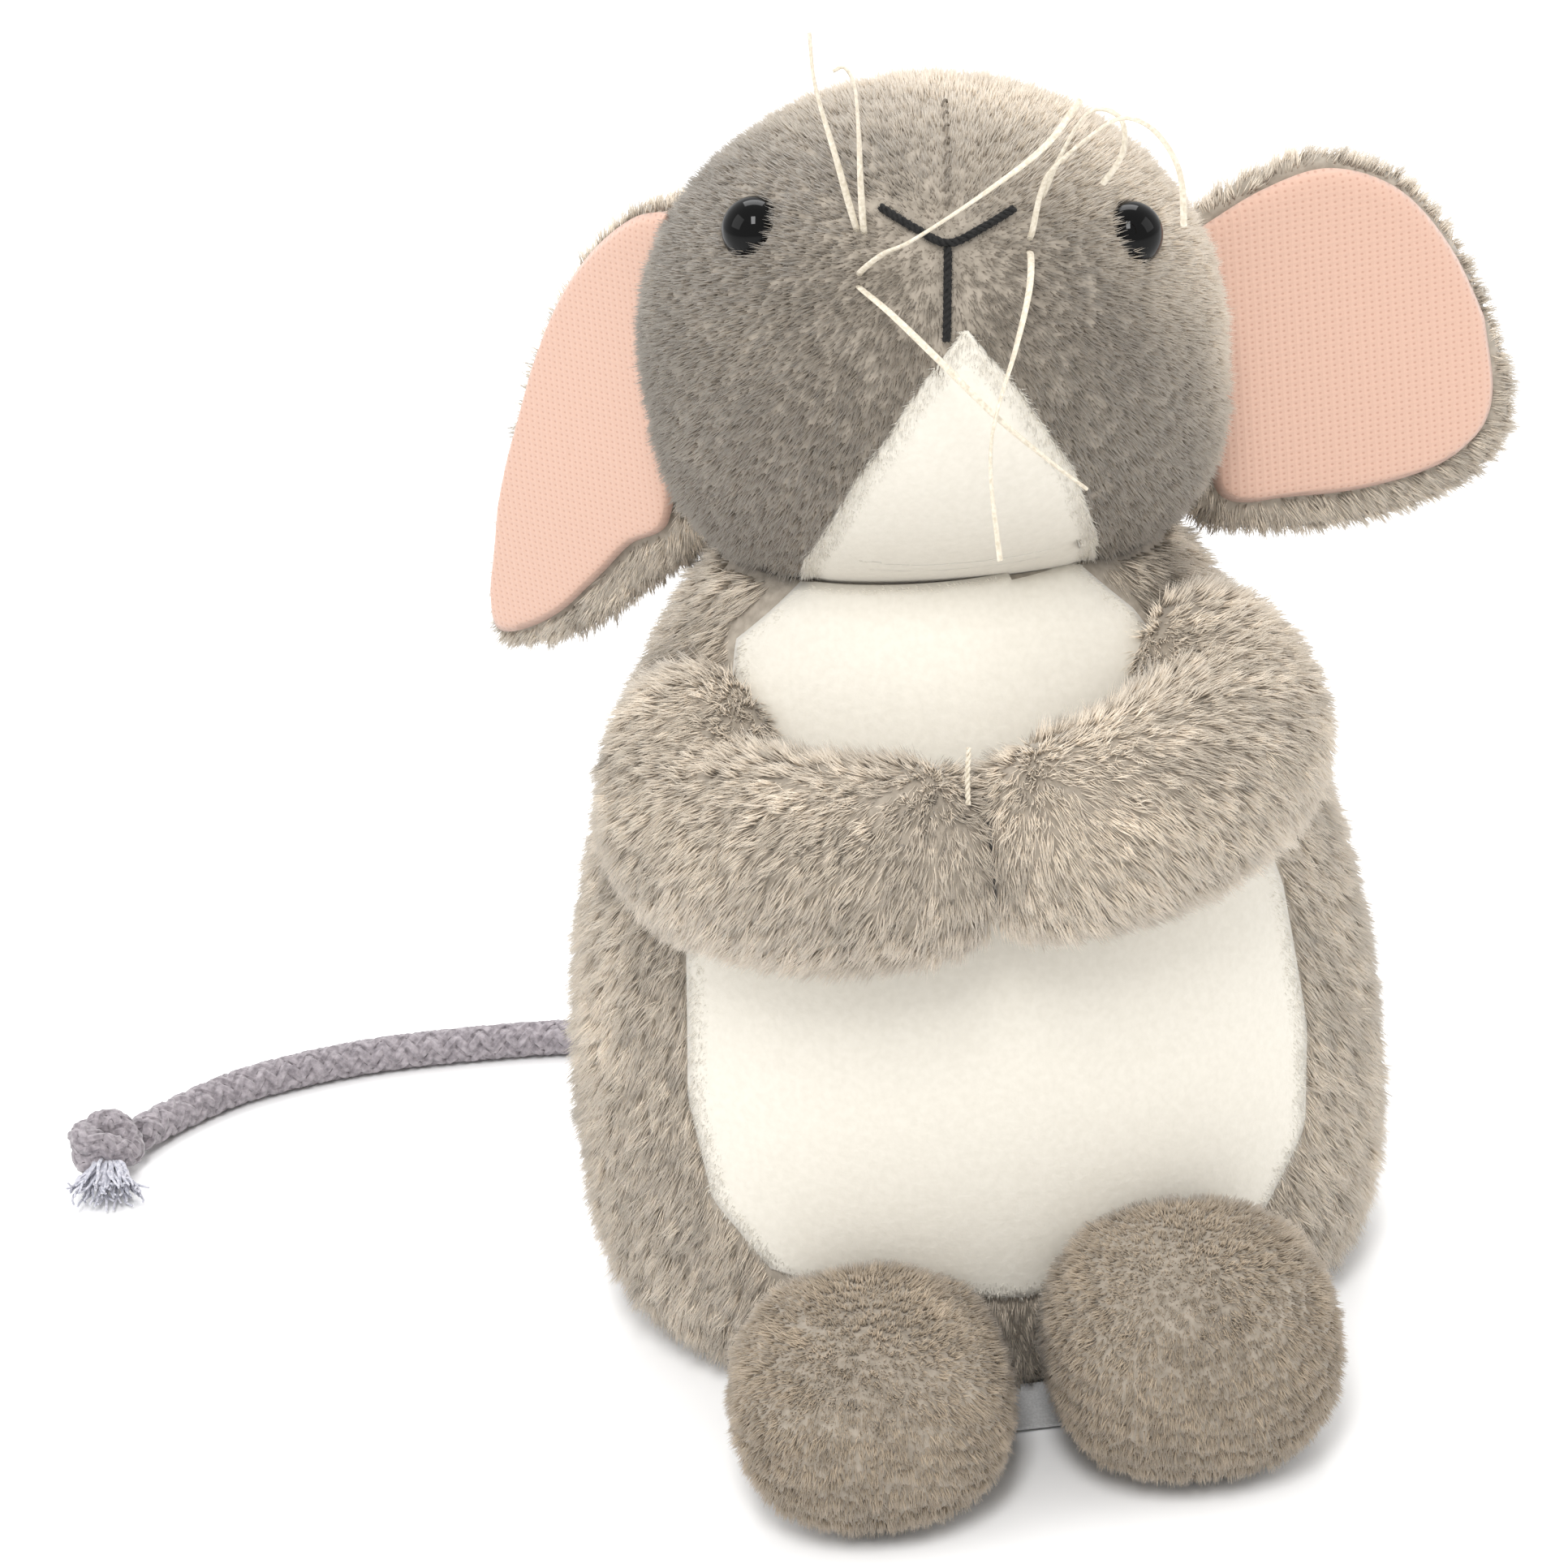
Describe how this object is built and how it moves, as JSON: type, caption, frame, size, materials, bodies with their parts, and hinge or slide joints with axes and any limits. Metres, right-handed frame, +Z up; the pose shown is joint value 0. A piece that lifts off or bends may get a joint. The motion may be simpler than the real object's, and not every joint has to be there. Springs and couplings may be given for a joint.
{
  "type": "seated plush mouse",
  "caption": "Seated stuffed plush mouse looking up, with folded arms, big lined ears, thread whiskers and a knotted cord tail.",
  "frame": {"origin": "middle of the flat base panel that the mouse sits on", "axes": "+Z up, the mouse faces -Y, its left side is +X"},
  "size_m": [0.2375, 0.1804, 0.2079],
  "materials": {
    "grey_plush": "warm grey long-pile plush, combed",
    "white_plush": "warm white short-pile plush",
    "peach_tricot": "peach brushed tricot knit",
    "filling": "white polyester fibre filling",
    "braid": "grey-mauve braided cotton cord",
    "thread": "cream waxed thread",
    "dark_thread": "near-black embroidery thread",
    "satin": "pale grey satin ribbon, unprinted",
    "black_plastic": "polished black",
    "clear_plastic": "natural moulded washer",
    "pellets": "bag of small plastic pellets"
  },
  "bodies": {
    "body": {"body_shell": "grey_plush", "belly_panel": "white_plush", "base_panel": "grey_plush", "body_stuffing": "filling", "pellet_bag": "pellets", "left_arm_sleeve": "grey_plush", "left_arm_stuffing": "filling", "right_arm_sleeve": "grey_plush", "right_arm_stuffing": "filling", "hand_tack_thread": "thread", "care_label": "satin"},
    "head": {"head_shell": "grey_plush", "chin_panel": "white_plush", "head_stuffing": "filling", "left_eye": "black_plastic", "left_eye_washer": "clear_plastic", "right_eye": "black_plastic", "right_eye_washer": "clear_plastic", "nose_stitch": "dark_thread", "mouth_stitch": "dark_thread", "whisker_a": "thread", "whisker_b": "thread", "whisker_c": "thread", "whisker_d": "thread", "whisker_e": "thread", "whisker_f": "thread", "whisker_g": "thread"},
    "left_ear": {"left_ear_back": "grey_plush", "left_ear_lining": "peach_tricot"},
    "right_ear": {"right_ear_back": "grey_plush", "right_ear_lining": "peach_tricot"},
    "left_foot": {"left_foot_upper": "grey_plush", "left_foot_sole": "grey_plush", "left_foot_stuffing": "filling"},
    "right_foot": {"right_foot_upper": "grey_plush", "right_foot_sole": "grey_plush", "right_foot_stuffing": "filling"},
    "tail": {"tail_cord": "braid", "tail_knot": "braid", "tail_tuft": "braid"}
  },
  "joints": [
    {"name": "head_turn", "type": "hinge", "parent": "body", "child": "head", "pos_m": [0.0016, -0.004, 0.1525], "axis": [0, 0, 1], "range_deg": [-10, 10]},
    {"name": "left_ear_fold", "type": "hinge", "parent": "head", "child": "left_ear", "pos_m": [0.042, 0.002, 0.141], "axis": [0, 0, 1], "range_deg": [-20, 20]},
    {"name": "right_ear_fold", "type": "hinge", "parent": "head", "child": "right_ear", "pos_m": [-0.0365, 0.008, 0.143], "axis": [0, 0, 1], "range_deg": [0, 20]},
    {"name": "left_foot_lift", "type": "hinge", "parent": "body", "child": "left_foot", "pos_m": [0.0238, -0.05, 0.027], "axis": [-1, 0, 0], "range_deg": [0, 12]},
    {"name": "right_foot_lift", "type": "hinge", "parent": "body", "child": "right_foot", "pos_m": [-0.0238, -0.05, 0.027], "axis": [-1, 0, 0], "range_deg": [0, 12]},
    {"name": "tail_swing", "type": "hinge", "parent": "body", "child": "tail", "pos_m": [0, 0.0486, 0.0084], "axis": [0, 0, 1], "range_deg": [-30, 18]}
  ]
}
